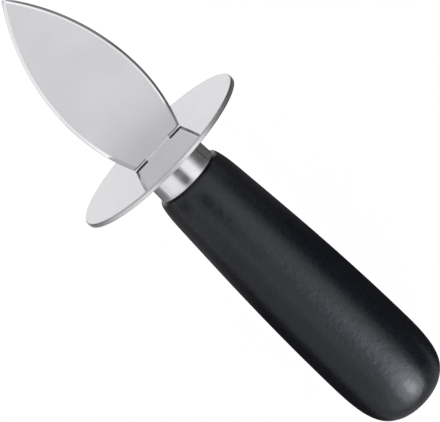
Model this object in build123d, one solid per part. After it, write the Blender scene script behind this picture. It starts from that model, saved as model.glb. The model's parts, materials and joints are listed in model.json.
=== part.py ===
from build123d import *
from math import asin, atan2, cos, degrees, hypot, radians, sin
import os

# Oyster knife with a round guard, lying on a table as it does when it is put down:
# on the guard's rim and on the thick end of the handle, with the tip raised.
# Millimetres. Each piece is drawn along the knife's own axis, where X runs from the
# guard's front face (X = 0) to the tip, and Z is square to the flat of the blade.
# The last step turns and moves all pieces together into the resting place.

# Blade, forward of the guard
blade_length = 60.3
blade_width = 26.2
blade_belly_at = 21.0
blade_thickness = 1.8
shoulder_width = 18.0
shoulder_gap = 0.4
tip_radius = 1.0
bevel_width = 0.9
edge_land = 0.5
neck_width = 8.5
neck_corner_radius = 0.2

# Tang, behind the neck and ground thinner, so that the neck's end seats on the guard
tang_width = 7.5
tang_end_width = 5.0
tang_thickness = 1.3
tang_length = 62.0
tang_end_radius = 1.5
key_hole_diameter = 2.4
key_hole_shares = (0.45, 0.8)

# Guard plate
guard_diameter = 57.2
guard_thickness = 1.4
guard_front_round = 0.5
guard_rear_round = 0.25

# Solder bead round the foot of the neck, on the guard
solder_leg_share = 0.75
solder_slope = 45

# Ferrule, a drawn cup with a slotted floor
ferrule_length = 10.3
ferrule_front_diameter = 18.6
ferrule_rear_diameter = 19.3
ferrule_wall = 0.7
ferrule_floor = 0.9
ferrule_front_round = 0.8

# Handle, behind the ferrule
handle_length = 94.8
belly_diameter = 29.3
belly_at = 74.0
lip_radius = 1.0
lip_sweep = 60.0

# Stations of the swell between the lip and the belly: the first number is a share of
# belly_at, the second a share of the way from the ferrule's radius to the belly's.
swell_shares = ((0.032, 0.30), (0.068, 0.39), (0.14, 0.48), (0.27, 0.605), (0.62, 0.885))

# The swell's curve leaves both of its ends at the pace of its own length
end_speeds = (1, 1)

# How far the end's curve runs on along the belly and beside the end's middle
end_axial_share = 0.71
end_radial_share = 0.86

# Cast resin round the tang
resin_thickness = 0.6
resin_end_depth = 2.0

# Clearances, and how far a cutting shape runs past what it cuts
slot_clearance = 0.05
spigot_clearance = 0.1
spigot_end_gap = 0.2
overrun = 1.0

# How many places of the handle's outline are tried as its resting point
resting_samples = 400

# Where the turned pieces' seams stand, in degrees from the top. It is about half the
# angle between the facets of a faceted copy, which then lies on flats, not on corners.
seam_turn = 1.25


# Places along the axis
ferrule_front_at = -guard_thickness
ferrule_rear_at = ferrule_front_at - ferrule_length
spigot_front_at = ferrule_front_at - ferrule_floor - spigot_end_gap
handle_end_at = ferrule_rear_at - handle_length
pocket_end_at = -tang_length - resin_end_depth

# The bead and the chamfer that it fills stay on the straight stretch of the neck's sides
solder_leg = (shoulder_gap - neck_corner_radius) * solder_leg_share


def ferrule_radius(x):
    """The ferrule's outer radius at a place along the axis."""
    share = (ferrule_front_at - x) / ferrule_length
    front = ferrule_front_diameter / 2
    rear = ferrule_rear_diameter / 2
    return front + (rear - front) * share


def turned(outline):
    """A solid of revolution about the axis, from outline edges above it in XZ."""
    return Rot(seam_turn, 0, 0) * revolve(make_face(outline), axis=Axis.X)


def along_axis(width, height, rear, front):
    """A box centred on the axis between two places along it."""
    return Pos((rear + front) / 2, 0, 0) * Box(front - rear, width, height)


def tang_slot(rear, front):
    """The opening that the tang passes through with its clearance."""
    width = tang_width + 2 * slot_clearance
    height = tang_thickness + 2 * slot_clearance
    return along_axis(width, height, rear, front)


# Blade with its tang

def leaf_face():
    """The leaf: on each side two arcs that meet at the widest place, and a round tip."""
    half_width = blade_width / 2
    tip_centre_at = blade_length - tip_radius
    run = tip_centre_at - blade_belly_at
    front_radius = (run**2 + half_width**2 - tip_radius**2) / (2 * (half_width - tip_radius))
    front_centre = Vector(blade_belly_at, half_width - front_radius)
    tip_centre = Vector(tip_centre_at, 0)
    tangency = tip_centre + (tip_centre - front_centre).normalized() * tip_radius
    belly = Vector(blade_belly_at, half_width)
    shoulder = Vector(shoulder_gap, shoulder_width / 2)
    rear_arc = TangentArc(belly, shoulder, tangent=(-1, 0))
    front_arc = TangentArc(belly, tangency, tangent=(1, 0))
    sides = [rear_arc, front_arc]
    sides += [mirror(arc, about=Plane.XZ) for arc in (rear_arc, front_arc)]
    mirrored_tangency = Vector(tangency.X, -tangency.Y)
    tip_arc = ThreePointArc(tangency, (blade_length, 0), mirrored_tangency)
    rear_edge = Line(shoulder, (shoulder_gap, -shoulder_width / 2))
    return make_face(sides + [tip_arc, rear_edge])


def tang_face():
    """The tapering tang with its rounded end and the holes that key it in the resin."""
    outline = Polyline(
        (0, tang_width / 2),
        (-tang_length, tang_end_width / 2),
        (-tang_length, -tang_end_width / 2),
        (0, -tang_width / 2),
        close=True,
    )
    face = make_face(outline)
    face = fillet(face.vertices().sort_by(Axis.X)[:2], tang_end_radius)
    for share in key_hole_shares:
        face -= Pos(-tang_length * share, 0) * Circle(key_hole_diameter / 2)
    return face


def make_blade():
    """Leaf and neck with the thinner tang, in one piece, and blunt bevels on the leaf."""
    neck_run = shoulder_gap + overrun
    neck = Pos(neck_run / 2, 0) * Rectangle(neck_run, neck_width)
    plan = leaf_face() + neck
    corners = plan.vertices().filter_by(
        lambda v: abs(abs(v.Y) - neck_width / 2) < neck_corner_radius
        and abs(v.X - shoulder_gap) < neck_corner_radius
    )
    plan = fillet(corners, neck_corner_radius)
    blade = extrude(plan, blade_thickness / 2, both=True)
    foot = blade.faces().sort_by(Axis.X)[0]
    blade = chamfer(foot.edges(), solder_leg)
    blade += extrude(tang_face(), tang_thickness / 2, both=True)
    bevel_depth = (blade_thickness - edge_land) / 2
    for side in (-1, 0):
        flat = blade.faces().filter_by(Axis.Z).sort_by(Axis.Z)[side]
        rim = flat.edges().filter_by(GeomType.CIRCLE)
        rim = rim.filter_by(lambda edge: edge.center().X > shoulder_gap)
        blade = chamfer(rim, bevel_width, bevel_depth, reference=flat)
    return blade


# Guard plate

def make_guard():
    """A round plate with a slot for the tang; its front rim is rolled over more."""
    radius = guard_diameter / 2
    plate = Rot(seam_turn, 0, 0) * Rot(0, 90, 0) * Cylinder(radius, guard_thickness)
    plate = Pos(-guard_thickness / 2, 0, 0) * plate
    rims = plate.edges().filter_by(GeomType.CIRCLE).sort_by(Axis.X)
    plate = fillet(rims[-1], guard_front_round)
    rims = plate.edges().filter_by(GeomType.CIRCLE).sort_by(Axis.X)
    plate = fillet(rims[0], guard_rear_round)
    return plate - tang_slot(-guard_thickness - overrun, overrun)


# Solder

def make_solder(blade):
    """The fine bead in the groove between the neck's chamfered foot and the guard."""
    width = neck_width + 2 * solder_leg
    height = blade_thickness + 2 * solder_leg
    foot = Plane.YZ * Rectangle(width, height)
    return extrude(foot, solder_leg, taper=solder_slope) - blade


# Ferrule

def make_ferrule():
    """A tapered cup whose floor, against the guard, has a slot for the tang."""
    floor_rear_at = ferrule_front_at - ferrule_floor
    front_radius = ferrule_radius(ferrule_front_at)
    rear_radius = ferrule_radius(ferrule_rear_at)
    outline = Polyline(
        (ferrule_front_at, 0, 0),
        (ferrule_front_at, 0, front_radius),
        (ferrule_rear_at, 0, rear_radius),
        (ferrule_rear_at, 0, rear_radius - ferrule_wall),
        (floor_rear_at, 0, ferrule_radius(floor_rear_at) - ferrule_wall),
        (floor_rear_at, 0, 0),
        close=True,
    )
    cup = turned(outline)
    front_rim = cup.edges().filter_by(GeomType.CIRCLE).sort_by(Axis.X)[-1]
    cup = fillet(front_rim, ferrule_front_round)
    return cup - tang_slot(floor_rear_at - overrun, ferrule_front_at + overrun)


# Handle

def handle_outline():
    """The grip's outline above the axis: lip, swell and rounded end, front to back."""
    mouth_radius = ferrule_radius(ferrule_rear_at)
    belly_radius = belly_diameter / 2
    sweep = radians(lip_sweep)

    def place(behind, radius):
        return Vector(ferrule_rear_at - behind, 0, radius)

    mouth = place(0, mouth_radius)
    half_turn = place(lip_radius * (1 - cos(sweep / 2)), mouth_radius + lip_radius * sin(sweep / 2))
    lip_end = place(lip_radius * (1 - cos(sweep)), mouth_radius + lip_radius * sin(sweep))
    lip = ThreePointArc(mouth, half_turn, lip_end)
    stations = [
        place(belly_at * along, mouth_radius + (belly_radius - mouth_radius) * out)
        for along, out in swell_shares
    ]
    belly = place(belly_at, belly_radius)
    lip_direction = Vector(-sin(sweep), 0, cos(sweep))
    swell = Spline(
        [lip_end, *stations, belly],
        tangents=[lip_direction, (-1, 0, 0)],
        tangent_scalars=end_speeds,
    )
    end_run = handle_length - belly_at
    rounded_end = Bezier(
        belly,
        place(belly_at + end_run * end_axial_share, belly_radius),
        place(handle_length, belly_radius * end_radial_share),
        place(handle_length, 0),
    )
    return [lip, swell, rounded_end]


def spigot_radius(x):
    """The radius of the handle's spigot inside the ferrule."""
    return ferrule_radius(x) - ferrule_wall - spigot_clearance


def pocket():
    """The room in the handle for the tang and the resin round it."""
    width = tang_width + 2 * resin_thickness
    height = tang_thickness + 2 * resin_thickness
    return along_axis(width, height, pocket_end_at, spigot_front_at)


def make_handle():
    """The grip with the spigot that the ferrule sits on and the pocket for the tang."""
    front = Polyline(
        (spigot_front_at, 0, 0),
        (spigot_front_at, 0, spigot_radius(spigot_front_at)),
        (ferrule_rear_at, 0, spigot_radius(ferrule_rear_at)),
        (ferrule_rear_at, 0, ferrule_radius(ferrule_rear_at)),
    )
    axis_line = Line((handle_end_at, 0, 0), (spigot_front_at, 0, 0))
    return turned([front, *handle_outline(), axis_line]) - pocket()


# Resin

def make_resin(blade):
    """The cast filling of the handle's pocket round the tang."""
    return pocket() - blade


# Resting place

def rest_tilt():
    """The axis's slope, in degrees, on a table that the guard's rim and handle touch.

    The table's line is tangent to the guard's rear rim and passes below every place
    of the handle's outline, so the flattest of the lines through them is the one.
    """
    rim_at = -guard_thickness + guard_rear_round
    rim_radius = guard_diameter / 2 - guard_rear_round
    slopes = []
    for edge in handle_outline():
        for step in range(resting_samples + 1):
            point = edge.position_at(step / resting_samples)
            run = rim_at - point.X
            drop = rim_radius - point.Z
            slopes.append(atan2(drop, run) + asin(guard_rear_round / hypot(run, drop)))
    return degrees(min(slopes))


def laid_down(pieces):
    """All pieces turned to the table and moved so that the footprint is centred."""
    tilt = Rot(0, -rest_tilt(), 0)
    tilted = {name: tilt * piece for name, piece in pieces.items()}
    boxes = [piece.bounding_box() for piece in tilted.values()]
    rear = min(box.min.X for box in boxes)
    front = max(box.max.X for box in boxes)
    bottom = min(box.min.Z for box in boxes)
    to_origin = Pos(-(rear + front) / 2, 0, -bottom)
    return {name: to_origin * piece for name, piece in tilted.items()}


def make_pieces():
    """Every piece of the knife, by its name, along the knife's own axis."""
    blade = make_blade()
    return {
        "blade": blade,
        "guard_plate": make_guard(),
        "neck_solder": make_solder(blade),
        "ferrule": make_ferrule(),
        "handle": make_handle(),
        "tang_resin": make_resin(blade),
    }


os.makedirs("parts", exist_ok=True)
for name, piece in laid_down(make_pieces()).items():
    export_step(piece, f"parts/{name}.step")
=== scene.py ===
"""Oyster knife with a round guard: its looks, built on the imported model.

The knife lies on the guard's rim and the thick end of its handle, with the tip raised.
Each piece is built along the knife's own axis, in millimetres: x runs from the guard's
front face to the tip, y to the left, and z is square to the flat of the blade. The axis
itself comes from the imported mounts, and carries each mesh to its place in metres.
"""

import json
import logging
import math
from dataclasses import dataclass
from enum import Enum

import bmesh
import bpy
import numpy as np
from bmesh.types import BMesh
from bpy.types import ID, Material, Mesh, Node, NodeSocket, NodeTree, Object
from mathutils import Matrix, Vector


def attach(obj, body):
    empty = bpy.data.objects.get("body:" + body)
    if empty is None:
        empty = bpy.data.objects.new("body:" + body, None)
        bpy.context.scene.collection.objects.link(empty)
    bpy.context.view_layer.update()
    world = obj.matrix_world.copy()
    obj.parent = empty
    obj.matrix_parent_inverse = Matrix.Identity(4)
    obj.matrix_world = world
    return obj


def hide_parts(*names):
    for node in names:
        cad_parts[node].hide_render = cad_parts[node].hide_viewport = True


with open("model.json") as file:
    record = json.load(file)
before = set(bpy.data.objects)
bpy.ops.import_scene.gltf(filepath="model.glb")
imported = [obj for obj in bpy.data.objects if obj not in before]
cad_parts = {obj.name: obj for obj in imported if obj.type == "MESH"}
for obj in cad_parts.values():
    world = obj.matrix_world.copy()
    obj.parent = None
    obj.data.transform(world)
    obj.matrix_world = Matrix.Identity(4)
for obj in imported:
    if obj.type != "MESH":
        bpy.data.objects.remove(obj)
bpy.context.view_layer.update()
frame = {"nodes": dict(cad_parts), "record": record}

log = logging.getLogger("oyster_knife")

Pair = tuple[float, float]
Triple = tuple[float, float, float]

MM = 0.001

# Edges that turn by more than this stay crisp, and gentler ones shade smoothly
CRISP_ANGLE = math.radians(32.0)

# Points closer than this, in millimetres, are one point
WELD = 0.0005

# Width, in millimetres, of the strip that keeps a flat face's shading flat at its rim
KEEP_FLAT = 0.04


class Slot(Enum):
    """The record's material slots."""

    BLADE = "blade_steel"
    GUARD = "guard_steel"
    SOLDER = "solder"
    FERRULE = "ferrule_metal"
    HANDLE = "handle_plastic"


class Lay(Enum):
    """The way in which a ground surface spreads its reflections, in knife directions."""

    NONE = (0.0, 0.0, 0.0)
    SIDEWAYS = (0.0, 1.0, 0.0)


class Measure(Enum):
    """What bounds the zones of a surface."""

    ALONG = "x"
    BESIDE = "y without its sign"
    OFF_FLAT = "z without its sign"
    RADIUS = "the distance from the axis"


class Side(Enum):
    """A side of the knife, seen from the handle, as the sign of y."""

    LEFT = 1
    RIGHT = -1


@dataclass(frozen=True)
class KnifeAxis:
    """The knife's own axis in the row frame.

    Attributes:
        origin: The middle of the guard's front face, in metres.
        forward: The way to the tip.
        upward: The way out of the blade's upper flat.
    """

    origin: Vector
    forward: Vector
    upward: Vector

    @classmethod
    def from_record(cls, record: dict) -> "KnifeAxis":
        """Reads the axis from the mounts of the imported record.

        Args:
            record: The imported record.

        Returns:
            The axis.
        """
        mounts = {mount["name"]: mount for mount in record["mounts"]}
        guard, flat = mounts["guard_front_face"], mounts["blade_upper_flat"]
        forward, upward = (Vector(mount["axis"]).normalized() for mount in (guard, flat))
        return cls(Vector(guard["pos_m"]), forward, upward)

    def rotation(self) -> Matrix:
        """The turn from the knife's directions to the row's."""
        sideways = self.upward.cross(self.forward)
        return Matrix((self.forward, sideways, self.upward)).transposed()

    def matrix(self) -> Matrix:
        """What takes knife millimetres to row metres."""
        return Matrix.Translation(self.origin) @ (self.rotation() * MM).to_4x4()

    def point(self, x: float, y: float, z: float) -> Vector:
        """A place given in knife millimetres, in row metres."""
        return self.origin + self.rotation() @ Vector((x, y, z)) * MM


def linear(hex_colour: str) -> tuple[float, float, float, float]:
    """Turns an sRGB hex colour, "#RRGGBB", into Blender's linear colour with alpha."""
    channels = [int(hex_colour[start:start + 2], 16) / 255 for start in (1, 3, 5)]
    return (*(c / 12.92 if c <= 0.04045 else ((c + 0.055) / 1.055) ** 2.4 for c in channels), 1.0)


def add_object(name: str, data: ID) -> Object:
    """Adds an object to the scene.

    Args:
        name: Its name.
        data: Its mesh, lamp or camera.

    Returns:
        The object.
    """
    added = bpy.data.objects.new(name, data)
    bpy.context.scene.collection.objects.link(added)
    return added


class Tree:
    """A node tree that is being filled."""

    def __init__(self, tree: NodeTree) -> None:
        """Starts with the tree empty."""
        self.tree = tree
        tree.nodes.clear()

    def add(self, kind: str, inputs: dict | None = None, stops: tuple = (), **settings) -> Node:
        """Adds a node with its settings, and fills or links its inputs.

        Args:
            kind: The node's type, which may leave out "ShaderNode".
            inputs: Input name or number to a value, to the output socket that feeds it, or
                to a node whose first output in use feeds it.
            stops: A colour ramp's stops, each a place and a linear colour or a grey level.
            **settings: The node's own properties.

        Returns:
            The new node.
        """
        node = self.tree.nodes.new(kind if "Node" in kind else f"ShaderNode{kind}")
        for name, value in settings.items():
            setattr(node, name, value)
        for _ in stops[2:]:
            node.color_ramp.elements.new(0.5)
        for index, (place, colour) in enumerate(stops):
            element = node.color_ramp.elements[index]
            element.position = place
            element.color = colour if isinstance(colour, tuple) else (colour, colour, colour, 1)
        for name, value in (inputs or {}).items():
            if isinstance(value, Node):
                value = next(output for output in value.outputs if output.enabled)
            if isinstance(value, NodeSocket):
                self.tree.links.new(value, node.inputs[name])
            else:
                node.inputs[name].default_value = value
        return node

    def blend(self, base: Node | tuple, own: Node | tuple | float, *limits: tuple) -> Node:
        """Mixes in another colour or value where all measures are within their limits.

        Args:
            base: The colour or value elsewhere.
            own: The colour or value within the limits.
            *limits: Measures, each with its values just outside and just inside.

        Returns:
            The mixed colour or value.
        """
        inside = 1.0
        for measure, outside, within in limits:
            inputs = {"Value": measure, "From Min": outside, "From Max": within}
            inputs = {0: inside, 1: self.add("MapRange", inputs)}
            inside = self.add("Math", inputs, operation="MULTIPLY")
        kind, first = ("FLOAT", 2) if isinstance(own, float) else ("RGBA", 6)
        return self.add("Mix", {0: inside, first: base, first + 1: own}, data_type=kind)

    def noise(self, place: Node, size: Triple, layers: float) -> Node:
        """Adds noise whose lumps have a real size along each of the knife's directions.

        Args:
            place: The place in knife millimetres.
            size: The lumps' size along x, y and z in millimetres.
            layers: How many finer layers are added.

        Returns:
            The noise.
        """
        inputs = {"Vector": place, "Scale": [1 / length for length in size]}
        inputs = {"Vector": self.add("Mapping", inputs), "Scale": 1.0, "Detail": layers}
        return self.add("TexNoise", inputs)

    def drift(self, noise: Node, low: float, high: float) -> Node:
        """Adds the value between two ends that a noise, seldom beyond 0.3 and 0.7, picks."""
        inputs = {"Value": noise, "From Min": 0.3, "From Max": 0.7, "To Min": low, "To Max": high}
        return self.add("MapRange", inputs)

    def cloth(self, cover: Node | float, tone: Node | tuple) -> Node:
        """Adds a cloth of a colour that stops a share of the light."""
        weave = self.add("BsdfDiffuse", {"Color": tone})
        return self.add("MixShader", {0: cover, 1: self.add("BsdfTransparent"), 2: weave})

    def place(self, system: str = "Object") -> bpy.types.bpy_prop_collection:
        """Adds the coordinates of a point, and gives them by their letters."""
        return self.add("SeparateXYZ", {0: self.add("TexCoord").outputs[system]}).outputs

    def seen(self, *rays: str) -> Node:
        """Adds a value that is 1 where one of the named rays looks, and otherwise 0.

        Args:
            *rays: Names of the light path's outputs.

        Returns:
            The value.
        """
        path = self.add("LightPath").outputs
        seen = 0.0
        for ray in rays:
            seen = self.add("Math", {0: seen, 1: path[ray]}, operation="MAXIMUM")
        return seen


def new_material(name: str) -> tuple[Material, Tree]:
    """Makes a material.

    Args:
        name: Its name.

    Returns:
        The material and its node tree, still empty.
    """
    material = bpy.data.materials.new(name)
    material.use_nodes = True
    return material, Tree(material.node_tree)


# Finishes


@dataclass(frozen=True)
class Relief:
    """The fine unevenness of a surface.

    Attributes:
        size: Its lumps' size along x, y and z in millimetres.
        depth: Its depth in millimetres.
        strength: The share of the depth that shows.
        layers: How many finer layers it has.
        share: How much it counts beside the clouds.
        swells: Whether the clouds swell the surface too.
        uneven: How much it adds to the roughness or takes from it.
    """

    size: Triple
    depth: float
    strength: float = 1.0
    layers: float = 2.0
    share: float = 1.0
    swells: bool = False
    uneven: float = 0.0


@dataclass(frozen=True)
class Zone:
    """A part of a surface that has another colour or roughness, with soft edges.

    Attributes:
        limits: Measures with their values just outside and just inside, in millimetres.
        colour: Its own colour.
        roughness: Its own roughness.
    """

    limits: dict[Measure, Pair]
    colour: str | None = None
    roughness: float | None = None


@dataclass(frozen=True)
class Finish:
    """A real surface: what it is made of and how it was made.

    Attributes:
        title: The material's name.
        dull: The colour at one end of the clouds.
        bright: The colour at the other end.
        cloud: The size in millimetres of the clouds in which its look drifts.
        roughness: The roughness at the dull end and at the bright end.
        layers: How many finer layers the clouds have.
        metallic: 1 for a metal, and 0 for anything else.
        lay: The way in which it spreads its reflections.
        relief: Its fine unevenness.
        zones: Its parts that differ, each over those before it.
        gloss: Other inputs of the shader with their values.
    """

    title: str
    dull: str
    bright: str
    cloud: float
    roughness: Pair
    layers: float = 2.0
    metallic: float = 1.0
    lay: Lay = Lay.NONE
    relief: Relief | None = None
    zones: tuple[Zone, ...] = ()
    gloss: tuple = ()

    def material(self, axis: KnifeAxis) -> Material:
        """Makes the material, with its patterns laid out in knife millimetres.

        Args:
            axis: The knife's axis, along which the patterns run.

        Returns:
            The material.
        """
        material, tree = new_material(self.title)
        turn = axis.rotation()
        inputs = {"Vector": tree.add("TexCoord").outputs["Object"], "Scale": (MM, MM, MM)}
        inputs.update({"Location": axis.origin, "Rotation": turn.to_euler()})
        place = tree.add("Mapping", inputs, vector_type="TEXTURE")
        cloud = tree.noise(place, (self.cloud, self.cloud, self.cloud), self.layers)
        stops = ((0.35, linear(self.dull)), (0.65, linear(self.bright)))
        surface = {
            "Base Color": tree.add("ValToRGB", {"Fac": cloud}, stops),
            "Metallic": self.metallic,
            "Roughness": tree.drift(cloud, *self.roughness),
            **dict(self.gloss),
        }
        if self.lay is not Lay.NONE:
            ways = {"vector_type": "VECTOR", "convert_from": "OBJECT", "convert_to": "WORLD"}
            inputs = {0: turn @ Vector(self.lay.value)}
            surface["Tangent"] = tree.add("VectorTransform", inputs, **ways)
        if self.relief:
            self.add_relief(tree, place, cloud, surface)
        if self.zones:
            self.add_zones(tree, place, surface)
        tree.add("OutputMaterial", {"Surface": tree.add("BsdfPrincipled", surface)})
        return material

    def add_relief(self, tree: Tree, place: Node, cloud: Node, surface: dict) -> None:
        """Adds the relief to the shader's normal and roughness.

        Args:
            tree: The material's tree.
            place: The place in knife millimetres.
            cloud: The clouds' noise.
            surface: The shader's inputs, which it changes.
        """
        relief = self.relief
        lumps = tree.noise(place, relief.size, relief.layers)
        uneven = tree.drift(lumps, -relief.uneven, relief.uneven)
        inputs = {0: uneven, 1: surface["Roughness"]}
        surface["Roughness"] = tree.add("Math", inputs, operation="ADD")
        inputs = {0: lumps, 1: relief.share, 2: cloud if relief.swells else 0.0}
        inputs = {"Height": tree.add("Math", inputs, operation="MULTIPLY_ADD")}
        inputs.update({"Strength": relief.strength, "Distance": relief.depth * MM})
        surface["Normal"] = tree.add("Bump", inputs)

    def add_zones(self, tree: Tree, place: Node, surface: dict) -> None:
        """Changes the shader's colour and roughness in the zones.

        Args:
            tree: The material's tree.
            place: The place in knife millimetres.
            surface: The shader's inputs, which it changes.
        """
        apart = tree.add("VectorMath", {0: place}, operation="ABSOLUTE")
        apart = tree.add("SeparateXYZ", {0: apart}).outputs
        across = tree.add("VectorMath", {0: place, 1: (0, 1, 1)}, operation="MULTIPLY")
        measures = {
            Measure.ALONG: tree.add("SeparateXYZ", {0: place}),
            Measure.BESIDE: apart["Y"],
            Measure.OFF_FLAT: apart["Z"],
            Measure.RADIUS: tree.add("VectorMath", {0: across}, operation="LENGTH"),
        }
        for zone in self.zones:
            limits = [(measures[measure], *ends) for measure, ends in zone.limits.items()]
            colour = zone.colour and linear(zone.colour)
            for name, own in (("Base Color", colour), ("Roughness", zone.roughness)):
                if own:
                    surface[name] = tree.blend(surface[name], own, *limits)


@dataclass(frozen=True)
class SatinGroundSteel(Finish):
    """Hardened stainless steel, ground along the blade with a fine belt.

    The belt leaves straight scratches from the guard to the tip, which spread a
    reflection sideways, so the flat is an even pale grey without an image in it. Real
    ones are 0.05 mm wide; they are drawn coarser, so that they show. The first zone is
    the bevels, which are honed finer. The second is the shoulders' rear faces, which the
    belt can't reach, so they are rough; their dark grey is painted shade, for the narrow
    gap between them and the guard.
    """

    title: str = "stainless_steel_satin_ground"
    dull: str = "#D9D9DC"
    bright: str = "#DDDDE0"
    cloud: float = 14.0
    roughness: Pair = (0.27, 0.30)
    layers: float = 1.0
    lay: Lay = Lay.SIDEWAYS
    relief: Relief = Relief((30.0, 0.45, 0.45), 0.0005, strength=0.07, layers=1.0, uneven=0.005)
    zones: tuple[Zone, ...] = (
        Zone({Measure.OFF_FLAT: (0.89, 0.85)}, "#E4E4E7", 0.13),
        # Painted shade: the shoulders' rear faces are dark grey for the gap before the guard
        Zone({Measure.ALONG: (0.66, 0.58), Measure.BESIDE: (4.35, 4.5)}, "#3A3A3C", 0.6),
    )
    gloss: tuple = (("Anisotropic", 0.7),)


@dataclass(frozen=True)
class MirrorPolishedSteel(Finish):
    """Stainless steel sheet, buffed to a mirror on its face.

    The face shows a clear image of the blade. The zones are the rim, which was only
    turned and brushed, so that its lights are soft; the rim's front corner, a darker grey
    that is painted shade along the edge; and the face inside the slits beside the blade's
    neck, which the wheel can't reach, so it is rougher, and whose dark grey is painted
    shade in the slits.
    """

    title: str = "stainless_steel_mirror_polished"
    dull: str = "#B8B8BB"
    bright: str = "#BBBBBE"
    cloud: float = 5.0
    roughness: Pair = (0.04, 0.06)
    layers: float = 1.0
    zones: tuple[Zone, ...] = (
        Zone({Measure.RADIUS: (27.9, 28.3)}, "#D6D6D9", 0.36),
        # Painted shade: the rim's front corner is a darker grey, a dark line along the edge
        Zone({Measure.RADIUS: (28.05, 28.15), Measure.ALONG: (-0.45, -0.35)}, "#AEAEB1"),
        # Painted shade: the face behind the shoulders, seen through the slits, is dark grey
        Zone({Measure.BESIDE: (9.2, 9.0), Measure.OFF_FLAT: (0.6, 0.45)}, "#9A9A9C", 0.3),
    )


@dataclass(frozen=True)
class DrawnFerruleMetal(Finish):
    """Stainless steel drawn into a cup and polished while it turned.

    The polish leaves hair-fine rings round it, so the studio's bands lie along it with
    soft edges. Real rings are 0.03 mm wide; they are drawn coarser, so that they show.
    Smudges dull it in places, and so does the zone beside the handle, which the wheel
    only just reaches.
    """

    title: str = "stainless_steel_drawn_and_polished"
    dull: str = "#DADADE"
    bright: str = "#E2E2E5"
    cloud: float = 2.6
    roughness: Pair = (0.09, 0.19)
    layers: float = 3.0
    relief: Relief = Relief((0.15, 30.0, 30.0), 0.0005, strength=0.3)
    zones: tuple[Zone, ...] = (Zone({Measure.ALONG: (-10.2, -11.7)}, roughness=0.34),)


@dataclass(frozen=True)
class MouldedPolyacetal(Finish):
    """Black polyacetal, moulded in a fine spark-eroded tool.

    The surface is satin, over a black that is slightly blue: broad soft lights with
    mottled edges, because the moulding sinks and swells by hundredths of a millimetre.
    The tool's own grain is 0.05 mm; it is drawn as coarse as shows from a metre.
    """

    title: str = "polyacetal_black_moulded"
    dull: str = "#0E0F14"
    bright: str = "#111217"
    cloud: float = 1.5
    roughness: Pair = (0.24, 0.29)
    metallic: float = 0.0
    relief: Relief = Relief((0.4, 0.4, 0.4), 0.07, share=0.25, swells=True)
    gloss: tuple = (
        ("IOR", 1.48),
        ("Specular IOR Level", 0.45),
        ("Specular Tint", (0.90, 0.92, 1.0, 1.0)),
    )


@dataclass(frozen=True)
class SilverSolder(Finish):
    """Silver solder, melted into the joint and wiped, bright and slightly uneven."""

    title: str = "silver_solder"
    dull: str = "#E2E2E3"
    bright: str = "#F0F0F0"
    cloud: float = 0.6
    roughness: Pair = (0.16, 0.30)


@dataclass(frozen=True)
class CastEpoxy(Finish):
    """Amber epoxy, cast round the tang, with clouds of filler in it."""

    title: str = "epoxy_cast_amber"
    dull: str = "#86693A"
    bright: str = "#9A7A45"
    cloud: float = 4.0
    roughness: Pair = (0.25, 0.4)
    metallic: float = 0.0
    gloss: tuple = (("IOR", 1.55),)


# Outlines and meshes


def rounded_path(corners: list[Triple], chords: int) -> list[Vector]:
    """Rounds the corners of a path by arcs.

    Args:
        corners: Both coordinates of each corner and its radius, where 0 leaves it sharp.
        chords: How many chords an arc has.

    Returns:
        The path's points.
    """
    spots = [Vector(corner[:2]) for corner in corners]
    path = []
    for index, corner in enumerate(spots):
        radius = corners[index][2]
        if not radius:
            path.append(corner)
            continue
        to_last = (spots[index - 1] - corner).normalized()
        to_next = (spots[index + 1] - corner).normalized()
        half_angle = to_last.angle(to_next) / 2
        centre = corner + (to_last + to_next).normalized() * radius / math.sin(half_angle)
        reach = radius / math.tan(half_angle)
        first, last = ((corner + way * reach - centre).normalized() for way in (to_last, to_next))
        turns = [first.slerp(last, step / chords) for step in range(chords + 1)]
        path += [centre + turn * radius for turn in turns]
    return path


def clamped_spline(knots: list[Vector], start: Vector, end: Vector, chords: int) -> list[Vector]:
    """Draws a curve of steady curvature through knots, with its end directions given.

    The curve is cubic between knots, and its parameter runs with the chords' length.

    Args:
        knots: The points that it passes through.
        start: Its velocity at the first knot.
        end: Its velocity at the last knot.
        chords: How many chords lie between two knots.

    Returns:
        The curve's points after the first knot.
    """
    points = np.array([tuple(knot) for knot in knots])
    spans = np.linalg.norm(np.diff(points, axis=0), axis=1)
    system = np.eye(len(points))
    target = np.zeros_like(points)
    target[0], target[-1] = tuple(start), tuple(end)
    for index in range(1, len(points) - 1):
        before, after = spans[index - 1], spans[index]
        system[index, index - 1:index + 2] = 1 / before, 2 / before + 2 / after, 1 / after
        chord_before = (points[index] - points[index - 1]) / before**2
        chord_after = (points[index + 1] - points[index]) / after**2
        target[index] = 3 * (chord_before + chord_after)
    speeds = np.linalg.solve(system, target)
    path = []
    for index, span in enumerate(spans):
        for t in np.arange(1, chords + 1) / chords:
            here = (1 + 2 * t) * (1 - t) ** 2 * points[index]
            there = t**2 * (3 - 2 * t) * points[index + 1]
            leaving = t * (1 - t) ** 2 * span * speeds[index]
            arriving = t**2 * (t - 1) * span * speeds[index + 1]
            path.append(Vector(here + there + leaving + arriving))
    return path


def rectangle(bm: BMesh, x: float, width: float, height: float) -> list:
    """Adds the four corners of a rectangle across the axis.

    Args:
        bm: The mesh being built.
        x: The place along the axis.
        width: The size along y.
        height: The size along z.

    Returns:
        The corners in turn.
    """
    signs = ((1, 1), (-1, 1), (-1, -1), (1, -1))
    return [bm.verts.new((x, y * width / 2, z * height / 2)) for y, z in signs]


def band(bm: BMesh, first: list, second: list, closed: bool = True) -> None:
    """Joins two rows of points by quads.

    Args:
        bm: The mesh being built.
        first: One row.
        second: The other row, with as many points.
        closed: Whether the rows are loops.
    """
    count = len(first)
    for index in range(count if closed else count - 1):
        after = (index + 1) % count
        bm.faces.new((first[index], first[after], second[after], second[index]))


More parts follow.
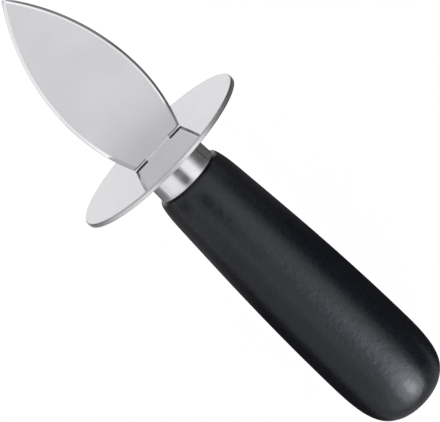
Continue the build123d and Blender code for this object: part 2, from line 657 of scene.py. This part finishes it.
def chain(bm: BMesh, loop: list) -> list:
    """Joins a loop's points by edges where they aren't yet, and gives its edges."""
    pairs = zip(loop, loop[1:] + loop[:1])
    return [bm.edges.get(pair) or bm.edges.new(pair) for pair in pairs]


@dataclass(kw_only=True)
class Piece:
    """A piece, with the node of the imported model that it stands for."""

    name: str
    node: str
    slot: Slot
    finish: Finish

    def shape(self, bm: BMesh, material: Material) -> None:
        """Adds the piece's shell to an empty mesh, in knife millimetres."""
        raise NotImplementedError

    def build(self, axis: KnifeAxis) -> None:
        """Shapes the piece, welds it, checks that it is closed and puts it in place.

        Args:
            axis: The knife's axis.
        """
        material = self.finish.material(axis)
        bm = bmesh.new()
        self.shape(bm, material)
        bmesh.ops.remove_doubles(bm, verts=bm.verts, dist=WELD)
        bmesh.ops.recalc_face_normals(bm, faces=bm.faces)
        if open_edges := sum(1 for edge in bm.edges if len(edge.link_faces) != 2):
            raise ValueError(f"{self.name} has {open_edges} open edges")
        mesh = bpy.data.meshes.new(self.name)
        bm.to_mesh(mesh)
        bm.free()
        mesh.transform(axis.matrix())
        mesh.shade_smooth()
        mesh.set_sharp_from_angle(angle=CRISP_ANGLE)
        mesh.materials.append(material)
        piece = add_object(self.name, mesh)
        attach(piece, "root")
        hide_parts(self.node)
        log.info("%s stands for %s: %d faces", self.name, self.node, len(mesh.polygons))


# Pieces turned about the axis


class Lathe:
    """The Geometry Nodes tree that turns an outline about the knife's axis."""

    def __init__(self) -> None:
        """Builds the tree with its named inputs."""
        self.tree = bpy.data.node_groups.new("turned_about_the_axis", "GeometryNodeTree")
        self.inputs = {}
        kinds = {"Outline": "Geometry", "Segments": "Int", "Weld": "Float", "Finish": "Material"}
        ways = [(name, kind, "INPUT") for name, kind in kinds.items()]
        for name, kind, way in (*ways, ("Turned", "Geometry", "OUTPUT")):
            kind = f"NodeSocket{kind}"
            socket = self.tree.interface.new_socket(name, in_out=way, socket_type=kind)
            self.inputs[name] = socket.identifier
        self.connect()

    def connect(self) -> None:
        """Lays a grid of outline points by turns, turns each point and welds the seam."""
        tree = Tree(self.tree)
        given = tree.add("NodeGroupInput").outputs
        inputs = {"Geometry": given["Outline"]}
        size = tree.add("GeometryNodeAttributeDomainSize", inputs).outputs
        columns = tree.add("Math", {0: given["Segments"], 1: 1.0}, operation="ADD")
        inputs = {"Vertices X": size["Point Count"], "Vertices Y": columns}
        grid = tree.add("GeometryNodeMeshGrid", inputs)
        index = tree.add("GeometryNodeInputIndex")
        row = tree.add("Math", {0: index, 1: columns}, operation="DIVIDE")
        row = tree.add("Math", {0: row}, operation="FLOOR")
        column = tree.add("Math", {0: index, 1: columns}, operation="MODULO")
        share = tree.add("Math", {0: column, 1: given["Segments"]}, operation="DIVIDE")
        turn = tree.add("Math", {0: share, 1: math.tau}, operation="MULTIPLY")
        place = tree.add("GeometryNodeInputPosition")
        inputs = {"Geometry": given["Outline"], "Value": place, "Index": row}
        kinds = {"data_type": "FLOAT_VECTOR", "domain": "POINT"}
        picked = tree.add("GeometryNodeSampleIndex", inputs, **kinds)
        inputs = {"Vector": picked, "Angle": turn}
        turned = tree.add("VectorRotate", inputs, rotation_type="X_AXIS")
        result = grid
        for kind, inputs in (
            ("SetPosition", {"Position": turned}),
            ("MergeByDistance", {"Distance": given["Weld"]}),
            ("RealizeInstances", {}),
            ("SetMaterial", {"Material": given["Finish"]}),
        ):
            result = tree.add(f"GeometryNode{kind}", {"Geometry": result, **inputs})
        tree.add("NodeGroupOutput", {"Turned": result})

    def turn(self, outline: list[Vector], segments: int, finish: Material) -> Mesh:
        """Turns an outline into a plain mesh.

        Args:
            outline: Points of place along the axis and radius.
            segments: How many flats the turn has.
            finish: The material.

        Returns:
            The turned mesh in knife millimetres, open where the outline ends off the axis.
        """
        points = bpy.data.meshes.new("outline")
        points.from_pydata([(point.x, 0.0, point.y) for point in outline], [], [])
        holder = add_object("outline", points)
        modifier = holder.modifiers.new("lathe", "NODES")
        modifier.node_group = self.tree
        for given, value in (("Segments", segments), ("Weld", WELD), ("Finish", finish)):
            modifier[self.inputs[given]] = value
        evaluated = holder.evaluated_get(bpy.context.evaluated_depsgraph_get())
        mesh = bpy.data.meshes.new_from_object(evaluated)
        holder.modifiers.remove(modifier)
        bpy.data.objects.remove(holder)
        bpy.data.meshes.remove(points)
        return mesh


@dataclass(kw_only=True)
class TurnedPiece(Piece):
    """A piece turned about the axis, with a rectangular opening along its middle.

    Attributes:
        lathe: The tree that turns outlines.
        segments: How many flats the turn has.
        slot_width: The opening's size along y.
        slot_height: The opening's size along z.
        blind: Whether the opening's rear end is closed.
        chords: How many chords a rounded corner of the outline has.
    """

    lathe: Lathe
    segments: int = 192
    slot_width: float = 7.6
    slot_height: float = 1.4
    blind: bool = False
    chords: int = 12

    def outline(self) -> list[Vector]:
        """The outline's points, as place along the axis and radius."""
        raise NotImplementedError

    def opening(self) -> Pair:
        """Where along the axis the opening starts and ends."""
        raise NotImplementedError

    def shape(self, bm: BMesh, material: Material) -> None:
        """Turns the outline and cuts the opening.

        Args:
            bm: The mesh to add to.
            material: The finish's material.
        """
        mesh = self.lathe.turn(self.outline(), self.segments, material)
        bm.from_mesh(mesh)
        bpy.data.meshes.remove(mesh)
        rims = [edge for edge in bm.edges if edge.is_boundary]
        mouths = []
        for x in self.opening():
            mouth = rectangle(bm, x, self.slot_width, self.slot_height)
            mouths.append(mouth)
            ring = [edge for edge in rims if abs(edge.verts[0].co.x - x) < WELD]
            if ring:
                edges = ring + chain(bm, mouth)
                bmesh.ops.triangle_fill(bm, use_beauty=True, edges=edges)
        band(bm, *mouths)
        if self.blind:
            bm.faces.new(mouths[1])


@dataclass(kw_only=True)
class Guard(TurnedPiece):
    """The round plate in front of the hand, with its front rim rolled over."""

    name: str = "guard_disc"
    node: str = "guard_plate"
    slot: Slot = Slot.GUARD
    finish: Finish = MirrorPolishedSteel()
    segments: int = 256
    diameter: float = 57.2
    thickness: float = 1.4
    front_round: float = 0.5
    rear_round: float = 0.25
    inner_ring: float = 5.0

    def outline(self) -> list[Vector]:
        """The plate's outline, from the opening's front over the rim to its rear.

        Returns:
            Points of place along the axis and radius.
        """
        radius = self.diameter / 2
        rear = -self.thickness
        corners = [
            (0, self.inner_ring, 0),
            (0, radius - self.front_round - KEEP_FLAT, 0),
            (0, radius, self.front_round),
            (rear, radius, self.rear_round),
            (rear, radius - self.rear_round - KEEP_FLAT, 0),
            (rear, self.inner_ring, 0),
        ]
        return rounded_path(corners, self.chords)

    def opening(self) -> Pair:
        """The tang's slot, right through the plate."""
        return 0.0, -self.thickness


@dataclass(kw_only=True)
class Ferrule(TurnedPiece):
    """The tapered cup between the guard and the handle."""

    name: str = "ferrule_cup"
    node: str = "ferrule"
    slot: Slot = Slot.FERRULE
    finish: Finish = DrawnFerruleMetal()
    front_at: float = -1.4
    length: float = 10.3
    front_diameter: float = 18.6
    rear_diameter: float = 19.3
    wall: float = 0.7
    floor: float = 0.9
    front_round: float = 0.8
    inner_ring: float = 5.0

    def radius(self, x: float) -> float:
        """The outer radius at a place along the axis."""
        share = (self.front_at - x) / self.length
        return (self.front_diameter + (self.rear_diameter - self.front_diameter) * share) / 2

    def outline(self) -> list[Vector]:
        """The cup's outline, from the slot over the outside to the inner floor.

        Returns:
            Points of place along the axis and radius.
        """
        rear = self.front_at - self.length
        floor = self.front_at - self.floor
        corners = [
            (self.front_at, self.inner_ring, 0),
            (self.front_at, self.radius(self.front_at), self.front_round),
            (rear, self.radius(rear), 0),
            (rear, self.radius(rear) - self.wall, 0),
            (floor, self.radius(floor) - self.wall, 0),
            (floor, self.inner_ring, 0),
        ]
        return rounded_path(corners, self.chords)

    def opening(self) -> Pair:
        """The tang's slot through the cup's floor."""
        return self.front_at, self.front_at - self.floor


@dataclass(kw_only=True)
class Handle(TurnedPiece):
    """The grip: a lip round the ferrule, a swell to the belly and a rounded end."""

    name: str = "grip"
    node: str = "handle"
    slot: Slot = Slot.HANDLE
    finish: Finish = MouldedPolyacetal()
    ferrule: Ferrule
    slot_width: float = 8.7
    slot_height: float = 2.5
    blind: bool = True
    length: float = 94.8
    belly_diameter: float = 29.3
    belly_at: float = 74.0
    lip_radius: float = 1.0
    lip_sweep: float = math.radians(60.0)
    spigot_front_at: float = -2.5
    spigot_clearance: float = 0.1
    pocket_end_at: float = -64.0

    # Share of belly_at, and share of the way from the ferrule's radius to the belly's
    swell_shares: tuple = (
        (0.032, 0.30), (0.068, 0.39), (0.14, 0.48), (0.27, 0.605), (0.62, 0.885),
    )

    # The rounded end is a Bezier curve, whose arms are these shares of its length and radius
    end_arms: Pair = (0.71, 0.86)
    end_chords: int = 48

    def spigot_radius(self, x: float) -> float:
        """The radius of the spigot inside the ferrule."""
        return self.ferrule.radius(x) - self.ferrule.wall - self.spigot_clearance

    def outline(self) -> list[Vector]:
        """The grip's outline, from the spigot's front to the middle of the end.

        Returns:
            Points of place along the axis and radius.
        """
        mouth_at = self.ferrule.front_at - self.ferrule.length
        mouth = self.ferrule.radius(mouth_at)
        belly = self.belly_diameter / 2
        path = [Vector((x, self.spigot_radius(x))) for x in (self.spigot_front_at, mouth_at)]
        for step in range(self.chords + 1):
            angle = self.lip_sweep * step / self.chords
            behind = self.lip_radius * (1 - math.cos(angle))
            path.append(Vector((mouth_at - behind, mouth + self.lip_radius * math.sin(angle))))
        knots = [path[-1]]
        for along, out in (*self.swell_shares, (1, 1)):
            spot = (mouth_at - self.belly_at * along, mouth + (belly - mouth) * out)
            knots.append(Vector(spot))
        lip_direction = Vector((-math.sin(self.lip_sweep), math.cos(self.lip_sweep)))
        path += clamped_spline(knots, lip_direction, Vector((-1, 0)), self.chords)
        run = self.length - self.belly_at
        scale = 3 / math.hypot(run, belly)
        leaving = Vector((-run * self.end_arms[0], 0)) * scale
        arriving = Vector((0, -belly * self.end_arms[1])) * scale
        knots = [knots[-1], Vector((mouth_at - self.length, 0))]
        return path + clamped_spline(knots, leaving, arriving, self.end_chords)

    def opening(self) -> Pair:
        """The pocket for the tang and its resin."""
        return self.spigot_front_at, self.pocket_end_at


# The blade


@dataclass(kw_only=True)
class Blade(Piece):
    """The leaf, the neck and the tang, from one piece of steel."""

    name: str = "leaf_blade"
    node: str = "blade"
    slot: Slot = Slot.BLADE
    finish: Finish = SatinGroundSteel()
    length: float = 60.3
    width: float = 26.2
    belly_at: float = 21.0
    thickness: float = 1.8
    shoulder_width: float = 18.0
    shoulder_gap: float = 0.4
    tip_radius: float = 1.0
    bevel_width: float = 0.9
    edge_land: float = 0.5
    neck_width: float = 8.5
    neck_corner_radius: float = 0.2
    foot_chamfer: float = 0.15
    tang_width: float = 7.5
    tang_end_width: float = 5.0
    tang_thickness: float = 1.3
    tang_length: float = 62.0
    tang_end_radius: float = 1.5
    key_hole_diameter: float = 2.4
    key_hole_shares: Pair = (0.45, 0.8)

    # The bevel is rolled into the flat, and the blunt edge's corners are polished round
    bevel_arris: float = 1.4
    edge_arris: float = 0.47
    arc_chords: int = 48
    corner_chords: int = 8
    neck_chords: int = 6

    def section(self) -> list[Vector]:
        """The edge's section from the upper flat over the land to the lower flat.

        Returns:
            Points of inset from the outline and height.
        """
        half = self.thickness / 2
        land = self.edge_land / 2
        slope = math.atan2(half - land, self.bevel_width)
        start = self.bevel_width + self.bevel_arris * math.tan(slope / 2) + KEEP_FLAT
        corners = [(start, half, 0), (self.bevel_width, half, self.bevel_arris)]
        corners.append((0, land, self.edge_arris))
        corners += [(inset, -height, radius) for inset, height, radius in reversed(corners)]
        return rounded_path(corners, self.corner_chords)

    def inset_outline(self, inset: float) -> list[Vector]:
        """The leaf's outline moved inward, from the left shoulder round the tip.

        Args:
            inset: How far it is moved inward.

        Returns:
            As many points for every inset, each across from its neighbours.
        """
        half = self.width / 2
        tip = Vector((self.length - self.tip_radius, 0))
        run = tip.x - self.belly_at
        front = (run**2 + half**2 - self.tip_radius**2) / (2 * (half - self.tip_radius))
        front_centre = Vector((self.belly_at, half - front))
        back_run = self.belly_at - self.shoulder_gap
        drop = half - self.shoulder_width / 2
        rear = (back_run**2 + drop**2) / (2 * drop)
        rear_centre = Vector((self.belly_at, half - rear))
        first = math.acos(-back_run / (rear - inset))
        tangency = math.atan2(tip.y - front_centre.y, run)
        point = Vector((self.length - inset, 0))
        if inset > self.tip_radius:
            # The two front arcs now meet in a point, where the tip's arc has gone
            tangency = math.asin(-front_centre.y / (front - inset))
            point.x = front_centre.x + (front - inset) * math.cos(tangency)
            tip = point
        quarter = math.pi / 2
        points = self.arc(rear_centre, rear - inset, first, quarter)
        points += self.arc(front_centre, front - inset, quarter, tangency)
        points += self.arc(tip, max(self.tip_radius - inset, 0), tangency, 0)
        return [*points, point, *(Vector((p.x, -p.y)) for p in reversed(points))]

    def arc(self, centre: Vector, radius: float, start: float, end: float) -> list[Vector]:
        """An arc's evenly spaced points from one angle to another, without the last."""
        turns = [start + (end - start) * step / self.arc_chords for step in range(self.arc_chords)]
        return [centre + Vector((math.cos(turn), math.sin(turn))) * radius for turn in turns]

    def add_leaf(self, bm: BMesh) -> None:
        """Adds the leaf and the neck down to the neck's chamfered foot.

        Args:
            bm: The mesh being built.
        """
        loops = []
        for level in self.section():
            outline = self.inset_outline(level.x)
            loops.append([bm.verts.new((p.x, p.y, level.y)) for p in outline])
        for first, second in zip(loops, loops[1:]):
            band(bm, first, second, closed=False)
        side = self.neck_width / 2
        corners = [
            (self.shoulder_gap, self.shoulder_width / 2, 0),
            (self.shoulder_gap, side, self.neck_corner_radius),
            (self.foot_chamfer, side, 0),
        ]
        neck = rounded_path(corners, self.neck_chords)[1:]
        half = self.thickness / 2
        walls = {
            (side, height): [bm.verts.new((p.x, p.y * side.value, height)) for p in neck]
            for side in Side
            for height in (half, -half)
        }
        for height, loop in ((half, loops[0]), (-half, loops[-1])):
            left = walls[Side.LEFT, height]
            bm.faces.new([*loop, *walls[Side.RIGHT, height], *reversed(left)])
        for side, end in ((Side.LEFT, 0), (Side.RIGHT, -1)):
            upper, lower = walls[side, half], walls[side, -half]
            band(bm, upper, lower, closed=False)
            bm.faces.new([upper[0], *(loop[end] for loop in loops), lower[0]])

    def add_foot(self, bm: BMesh) -> None:
        """Adds the neck's chamfered foot and the seat round the tang.

        Args:
            bm: The mesh being built.
        """
        cut = 2 * self.foot_chamfer
        neck = rectangle(bm, self.foot_chamfer, self.neck_width, self.thickness)
        foot = rectangle(bm, 0, self.neck_width - cut, self.thickness - cut)
        tang = rectangle(bm, 0, self.tang_width, self.tang_thickness)
        band(bm, neck, foot)
        band(bm, foot, tang)

    def add_tang(self, bm: BMesh) -> None:
        """Adds the tapered tang with its key holes, open where it meets the foot.

        Args:
            bm: The mesh being built.
        """
        side, end = self.tang_width / 2, self.tang_end_width / 2
        corners = [
            (0, side, 0),
            (-self.tang_length, end, self.tang_end_radius),
            (-self.tang_length, -end, self.tang_end_radius),
            (0, -side, 0),
        ]
        outlines = [rounded_path(corners, self.corner_chords)]
        for share in self.key_hole_shares:
            centre = Vector((-self.tang_length * share, 0))
            outlines.append(self.arc(centre, self.key_hole_diameter / 2, 0, math.tau))
        faces = []
        for height in (self.tang_thickness / 2, -self.tang_thickness / 2):
            loops = [[bm.verts.new((p.x, p.y, height)) for p in points] for points in outlines]
            edges = [edge for loop in loops for edge in chain(bm, loop)]
            bmesh.ops.triangle_fill(bm, use_beauty=True, edges=edges)
            faces.append(loops)
        for index, (upper, lower) in enumerate(zip(*faces)):
            band(bm, upper, lower, closed=index > 0)

    def shape(self, bm: BMesh, material: Material) -> None:
        """Adds the leaf, the foot and the tang."""
        for add in (self.add_leaf, self.add_foot, self.add_tang):
            add(bm)


@dataclass(kw_only=True)
class SolderBead(Piece):
    """The fine hollow bead that fills the groove round the neck's foot."""

    name: str = "solder_bead"
    node: str = "neck_solder"
    slot: Slot = Slot.SOLDER
    finish: Finish = SilverSolder()
    blade: Blade
    chords: int = 6

    def shape(self, bm: BMesh, material: Material) -> None:
        """Adds the bead: the groove's foot, the bead's top on the neck and its hollow face.

        Args:
            bm: The mesh to add to.
            material: The finish's material, which the shape doesn't need.
        """
        leg = self.blade.foot_chamfer
        turns = [math.pi / 2 * step / self.chords for step in range(self.chords + 1)]
        hollow = [(leg - leg * math.cos(turn), leg - leg * math.sin(turn)) for turn in turns]
        width, height = self.blade.neck_width, self.blade.thickness
        section = [(-leg, 0), *hollow]
        loops = [rectangle(bm, x, width + 2 * out, height + 2 * out) for out, x in section]
        for first, second in zip(loops, loops[1:] + loops[:1]):
            band(bm, first, second)


# The studio


@dataclass(frozen=True)
class Stand:
    """An upright sheet beside the knife, which only reflections see.

    Attributes:
        name: Its name.
        along: Its ends in x, in metres like the rest.
        beside: Its place in y.
        up: Its lower and upper edge.
        cover: The share of the light that its black gauze stops.
        glow: The brightness of a white card.
    """

    name: str
    along: Pair
    beside: float
    up: Pair
    cover: float = 0.0
    glow: float = 0.0


@dataclass
class Studio:
    """A pale floor, diffusers with gaps between them, a key, and felt, nets and cards.

    Its sizes are in metres. The diffusers' bands are given by the angle across the knife
    from straight above, in degrees to the right, each with its brightness. They were
    chosen from the ferrule's bands.
    """

    overhead: tuple = (
        (-180, 0.35), (-110, 0.45), (-92, 0.85), (-75, 1.0), (-50, 1.05), (-38, 0.95),
        (-24, 0.72), (-4, 0.74), (6, 0.92), (16, 1.08), (38, 1.12), (46, 0.86), (52, 0.62),
        (60, 0.33), (70, 0.16), (92, 0.09), (180, 0.10),
    )

    # Other bands, with the forward share of the way out at which they begin and are full:
    # two behind the knife, the dark sides straight above the blade, and three ahead of it
    zones: tuple = (
        (-0.33, -0.45, (
            (-180, 0.35), (-110, 0.40), (-94, 0.85), (-80, 1.25), (-30, 1.20), (-12, 0.75),
            (8, 0.78), (20, 1.35), (44, 1.50), (52, 0.70), (62, 0.15), (92, 0.08), (180, 0.08),
        )),
        (-0.50, -0.66, (
            (-180, 0.35), (-94, 0.60), (-80, 1.45), (50, 1.45), (60, 0.15), (180, 0.06),
        )),
        (-0.16, -0.07, (
            (-180, 0.32), (-58, 0.32), (-46, 0.90), (0, 1.15), (30, 1.25), (46, 1.05),
            (58, 0.48), (180, 0.40),
        )),
        (0.10, 0.19, (
            (-180, 0.35), (-100, 0.50), (-86, 0.92), (-40, 0.95), (0, 1.05), (48, 1.30),
            (58, 0.40), (180, 0.40),
        )),
        (0.40, 0.50, (
            (-180, 0.25), (-60, 0.20), (-40, 0.60), (0, 0.95), (40, 1.10), (90, 1.10),
            (110, 0.40), (180, 0.40),
        )),
        (0.66, 0.80, ((0, 0.95), (180, 0.95))),
    )

    floor_size: float = 3.0
    paper: str = "#E8E8E8"
    shown_shade: float = 0.2
    shown_light: float = 0.985
    black: str = "#303030"
    tail_grey: str = "#A8A8A8"

    # The felt's grey beside the guard, and how much of it is there, by the share of the
    # way out to its far edge
    felts: tuple = (
        (Side.LEFT, "#8C8C8C", (
            (0.0086, 0.0), (0.0114, 1.0), (0.051, 1.0), (0.20, 0.25), (0.43, 0.15),
        )),
        (Side.RIGHT, "#646464", ((0.0086, 0.0), (0.0114, 1.0), (0.10, 1.0), (1.0, 1.0))),
    )
    felt_height: float = 0.0004
    felt_tail: float = -0.088
    felt_near: float = 0.012
    felt_far: float = 1.4
    felt_rear: float = -0.6
    felt_neck: Pair = (0.018, 0.04)
    felt_front: float = 0.16
    felt_greys: Pair = (-0.035, -0.008)

    # The kinds of ray that don't see the felt, and those that don't see nets and cards
    felt_unseen: tuple = ("camera", "shadow", "transmission")
    mirrored_unseen: tuple = ("camera", "diffuse", "shadow", "transmission")
    stands: tuple[Stand, ...] = (
        Stand("net_left", (-0.16, -0.025), 0.1, (0.0, 0.12), cover=0.35),
        Stand("net_right", (-0.16, -0.025), -0.1, (0.0, 0.08), cover=1.0),
        Stand("black_card", (0.040, 0.105), -0.065, (0.015, 0.085), cover=0.5),
        Stand("card", (0.040, 0.105), 0.065, (0.015, 0.085), glow=1.05),
    )

    # The strip's sizes and the key's aim are in knife millimetres
    strip_along: Pair = (-32.0, -10.0)
    strip_across: Pair = (-11.5, 40.0)
    strip_above: float = 65.0
    strip_cover: tuple = ((0.0, 0.0), (0.27, 0.77), (0.58, 0.77), (1.0, 0.0))
    key_aim: Triple = (-100.0, 0.0, 0.0)
    key_direction: Triple = (-0.80, -0.11, 0.60)

    # The key's disks have a size, a brightness and a distance from the aim
    key_disks: tuple = ((0.24, 6.2, 0.5548), (0.66, 2.6, 0.5632))

    def build(self, axis: KnifeAxis) -> None:
        """Makes the whole studio.

        Args:
            axis: The knife's axis.
        """
        self.floor()
        for felt in self.felts:
            self.felt(*felt)
        for stand in self.stands:
            self.stand(stand)
        self.strip(axis)
        self.key(axis)
        self.surroundings()
        log.info("studio ready")

    def sheet(self, name: str, corners: list, *unseen: str) -> Tree:
        """Adds a flat sheet that isn't part of the object.

        Args:
            name: Its name.
            corners: Its corners in metres.
            *unseen: The kinds of ray that don't see it.

        Returns:
            Its material's node tree, still empty.
        """
        mesh = bpy.data.meshes.new(name)
        mesh.from_pydata(corners, [], [range(len(corners))])
        sheet = add_object(name, mesh)
        material, tree = new_material(f"{name}_surface")
        mesh.materials.append(material)
        for ray in unseen:
            setattr(sheet, f"visible_{ray}", False)
        return tree

    def floor(self) -> None:
        """Adds the pale floor: plain to look at, with the knife's shadow faint on it."""
        half = self.floor_size / 2
        corners = [(-half, -half, 0), (half, -half, 0), (half, half, 0), (-half, half, 0)]
        tree = self.sheet("floor", corners)
        paper = tree.add("BsdfDiffuse", {"Color": linear(self.paper)})
        inputs = {"Color": (self.shown_shade, self.shown_shade, self.shown_shade, 1)}
        faint = tree.add("BsdfDiffuse", inputs)
        white = tree.add("Emission", {"Strength": self.shown_light})
        shown = tree.add("AddShader", {0: faint, 1: white})
        seen = tree.seen("Is Camera Ray", "Is Glossy Ray", "Is Transmission Ray")
        mixed = tree.add("MixShader", {0: seen, 1: paper, 2: shown})
        tree.add("OutputMaterial", {"Surface": mixed})

    def felt(self, side: Side, grey: str, edges: tuple) -> None:
        """Lays felt with soft edges beside and behind the knife, to darken its sides.

        It is black beside the handle, and grey beside the guard and behind the handle.

        Args:
            side: The side of the knife.
            grey: Its colour beside the guard.
            edges: How much of it is there, by the share of the way out.
        """
        tail, near, far = self.felt_tail, self.felt_near, self.felt_far
        neck_at, neck = self.felt_neck
        corners = [(self.felt_rear, 0), (tail, 0), (tail, near), (neck_at, near), (neck_at, neck)]
        corners += [(self.felt_front, neck), (self.felt_front, far), (self.felt_rear, far)]
        corners = [(x, y * side.value, self.felt_height) for x, y in corners]
        tree = self.sheet(f"flag_{side.name.lower()}", corners, *self.felt_unseen)
        place = tree.place()
        beside = tree.add("Math", {0: place["Y"]}, operation="ABSOLUTE")
        after = tree.add("Math", {0: tail + near, 1: place["X"]}, operation="SUBTRACT")
        apart = tree.add("Math", {0: beside, 1: after}, operation="MAXIMUM")
        share = tree.add("Math", {0: apart, 1: far}, operation="DIVIDE")
        cover = tree.add("ValToRGB", {"Fac": share}, edges)
        tone = tree.blend(linear(self.black), linear(grey), (place["X"], *self.felt_greys))
        tone = tree.blend(tone, linear(self.tail_grey), (place["X"], tail, tail - near))
        tree.add("OutputMaterial", {"Surface": tree.cloth(cover, tone)})

    def stand(self, stand: Stand) -> None:
        """Stands a black net or a white card beside the knife.

        Args:
            stand: What it is and where it stands.
        """
        (rear, front), (low, high) = stand.along, stand.up
        corners = ((rear, low), (front, low), (front, high), (rear, high))
        corners = [(x, stand.beside, z) for x, z in corners]
        tree = self.sheet(stand.name, corners, *self.mirrored_unseen)
        if stand.glow:
            shader = tree.add("Emission", {"Strength": stand.glow})
        else:
            shader = tree.cloth(stand.cover, linear(self.black))
        tree.add("OutputMaterial", {"Surface": shader})

    def strip(self, axis: KnifeAxis) -> None:
        """Hangs a small dark strip over the ferrule, whose image is the ferrule's band.

        Args:
            axis: The knife's axis.
        """
        (rear, front), (inner, outer) = self.strip_along, self.strip_across
        corners = ((rear, inner), (front, inner), (front, outer), (rear, outer))
        corners = [axis.point(x, y, self.strip_above) for x, y in corners]
        tree = self.sheet("strip", corners, *self.mirrored_unseen)
        ends = {"From Min": inner * MM, "From Max": outer * MM}
        share = tree.add("MapRange", {"Value": tree.place()["Y"], **ends})
        cover = tree.add("ValToRGB", {"Fac": share}, self.strip_cover)
        tree.add("OutputMaterial", {"Surface": tree.cloth(cover, linear(self.black))})

    def key(self, axis: KnifeAxis) -> None:
        """Adds the key behind the handle's end, whose dome it lights.

        Args:
            axis: The knife's axis.
        """
        direction = Vector(self.key_direction).normalized()
        grip = bpy.data.collections.new("lit_by_the_key")
        grip.objects.link(bpy.data.objects["grip"])
        for size, level, distance in self.key_disks:
            lamp = bpy.data.lights.new("key", "AREA")
            lamp.shape = "DISK"
            lamp.size = size
            # The power that makes a disk as bright as its level
            lamp.energy = level * (math.pi * size / 2) ** 2
            holder = add_object("key", lamp)
            holder.light_linking.receiver_collection = grip
            holder.location = axis.point(*self.key_aim) + direction * distance
            holder.rotation_euler = direction.to_track_quat("Z", "Y").to_euler()

    def surroundings(self) -> None:
        """Sets the world: white to the camera, and the diffusers to everything else."""
        world = bpy.data.worlds.new("studio")
        bpy.context.scene.world = world
        world.use_nodes = True
        tree = Tree(world.node_tree)
        way = tree.place("Generated")
        across = tree.add("Math", {0: way["Y"], 1: way["Z"]}, operation="ARCTAN2")
        inputs = {"Value": across, "From Min": math.pi, "From Max": -math.pi}
        share = tree.add("MapRange", inputs)

        def bands(levels: tuple) -> Node:
            """Bands of brightness round the knife, from angles and brightnesses."""
            stops = tuple(((angle + 180) / 360, level) for angle, level in levels)
            return tree.add("ValToRGB", {"Fac": share}, stops)

        panorama = bands(self.overhead)
        for begins, full, levels in self.zones:
            panorama = tree.blend(panorama, bands(levels), (way["X"], begins, full))
        around = tree.add("Background", {"Color": panorama})
        white = tree.add("Background", {"Color": (1, 1, 1, 1)})
        seen = tree.seen("Is Camera Ray", "Is Transmission Ray")
        mixed = tree.add("MixShader", {0: seen, 1: around, 2: white})
        tree.add("OutputWorld", {"Surface": mixed})


@dataclass
class Camera:
    """The camera of the photograph, nearly square to the blade and leaning tipward."""

    lean: float = math.radians(14.3)
    roll: float = math.radians(43.75)
    distance: float = 1.0
    lens: float = 292.7
    sensor: float = 36.0
    clip: Pair = (0.05, 50.0)
    aim: Triple = (-25.385, 0.57, 0.0)

    def build(self, axis: KnifeAxis) -> None:
        """Makes the camera and points it.

        Args:
            axis: The knife's axis, from which the aim is measured in millimetres.
        """
        back = axis.upward * math.cos(self.lean) + axis.forward * math.sin(self.lean)
        tipward = axis.forward * math.cos(self.lean) - axis.upward * math.sin(self.lean)
        leftward = axis.upward.cross(axis.forward)
        right = -tipward * math.cos(self.roll) - leftward * math.sin(self.roll)
        up = tipward * math.sin(self.roll) - leftward * math.cos(self.roll)
        data = bpy.data.cameras.new("camera")
        data.sensor_width = self.sensor
        data.lens = self.lens
        data.clip_start, data.clip_end = self.clip
        camera = add_object("camera", data)
        turn = Matrix((right, up, back)).transposed().to_4x4()
        spot = axis.point(*self.aim) + back * self.distance
        camera.matrix_world = Matrix.Translation(spot) @ turn
        bpy.context.scene.camera = camera
        log.info("camera at %s", tuple(round(value, 4) for value in spot))


def dress_resin(axis: KnifeAxis) -> None:
    """Gives the hidden resin, whose CAD shape is right, its material.

    Args:
        axis: The knife's axis.
    """
    resin = frame["nodes"]["tang_resin"]
    resin.data.materials.clear()
    resin.data.materials.append(CastEpoxy().material(axis))
    log.info("tang_resin keeps its CAD shape")


def main() -> None:
    """Builds the knife piece by piece, and then the studio and the camera."""
    logging.basicConfig(level=logging.INFO, format="%(message)s")
    axis = KnifeAxis.from_record(frame["record"])
    lathe = Lathe()
    blade = Blade()
    ferrule = Ferrule(lathe=lathe)
    pieces = (blade, Guard(lathe=lathe), SolderBead(blade=blade), ferrule)
    for piece in (*pieces, Handle(lathe=lathe, ferrule=ferrule)):
        piece.build(axis)
    dress_resin(axis)
    Studio().build(axis)
    Camera().build(axis)
    bpy.context.scene.view_settings.view_transform = "Standard"


if __name__ == "__main__":
    main()
